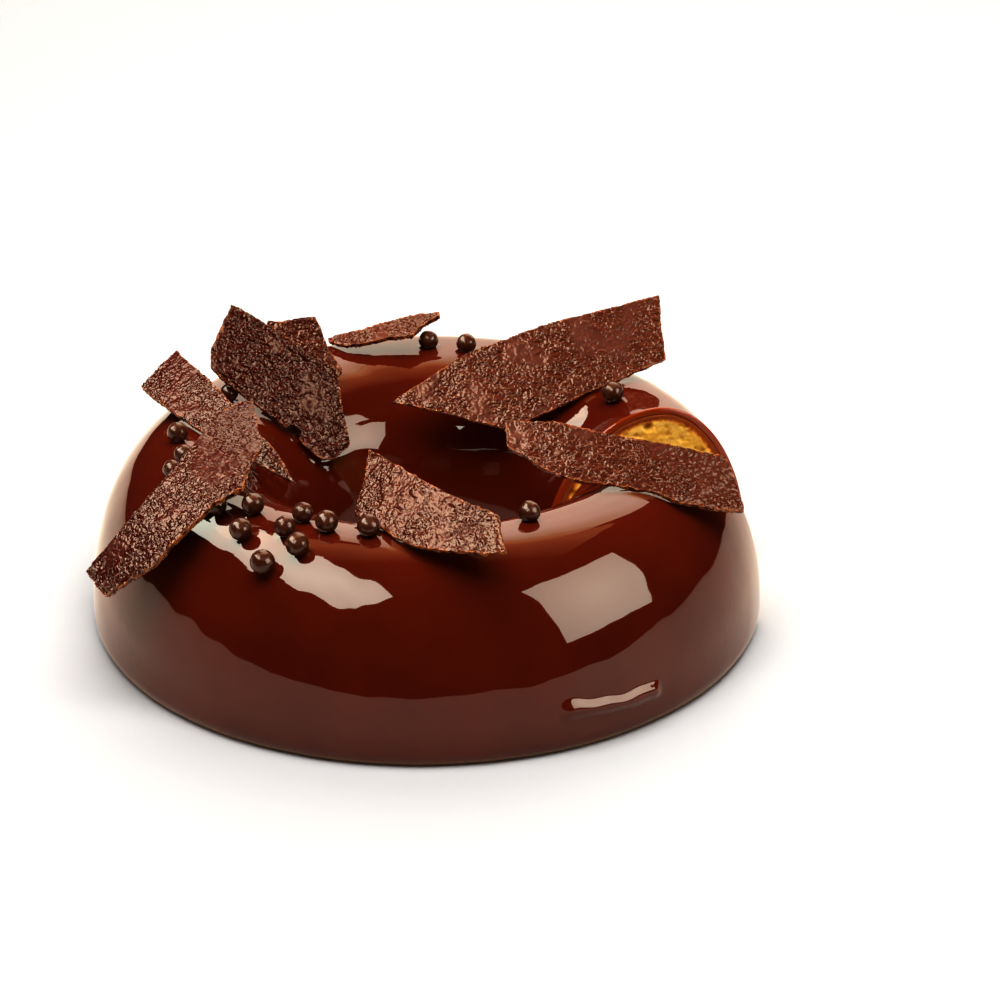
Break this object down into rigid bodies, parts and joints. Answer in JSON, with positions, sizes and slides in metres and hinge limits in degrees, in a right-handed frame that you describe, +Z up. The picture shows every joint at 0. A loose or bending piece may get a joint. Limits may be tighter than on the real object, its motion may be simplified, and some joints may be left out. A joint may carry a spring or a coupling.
{
  "type": "ring cake",
  "caption": "Chocolate-glazed ring cake with a slice missing, fruit in the cut yellow sponge, and thin cocoa shards and chocolate pearls on top.",
  "frame": {"origin": "on the ring's axis, at its base plane", "axes": "+Z up out of the base, +X toward the missing slice, -Y toward the side the picture was taken from"},
  "size_m": [0.1788, 0.18, 0.0746],
  "materials": {
    "sponge": "open yellow crumb, browned at the rim",
    "glaze": "mirror gloss, dark red-brown",
    "fruit": "moist satin",
    "brittle": "crinkled, glossy on the crinkles",
    "pearl": "satin"
  },
  "bodies": {
    "root": {"sponge": "sponge", "glaze": "glaze", "fruit_1": "fruit", "fruit_2": "fruit", "fruit_3": "fruit", "fruit_4": "fruit", "fruit_5": "fruit", "fruit_6": "fruit", "fruit_7": "fruit", "shard_1": "brittle", "shard_2": "brittle", "shard_3": "brittle", "shard_4": "brittle", "shard_5": "brittle", "shard_6": "brittle", "shard_7": "brittle", "shard_8": "brittle", "pearl_1": "pearl", "pearl_2": "pearl", "pearl_3": "pearl", "pearl_4": "pearl", "pearl_5": "pearl", "pearl_6": "pearl", "pearl_7": "pearl", "pearl_8": "pearl", "pearl_9": "pearl", "pearl_10": "pearl", "pearl_11": "pearl", "pearl_12": "pearl", "pearl_13": "pearl", "pearl_14": "pearl", "pearl_15": "pearl", "pearl_16": "pearl", "pearl_17": "pearl"}
  },
  "joints": []
}
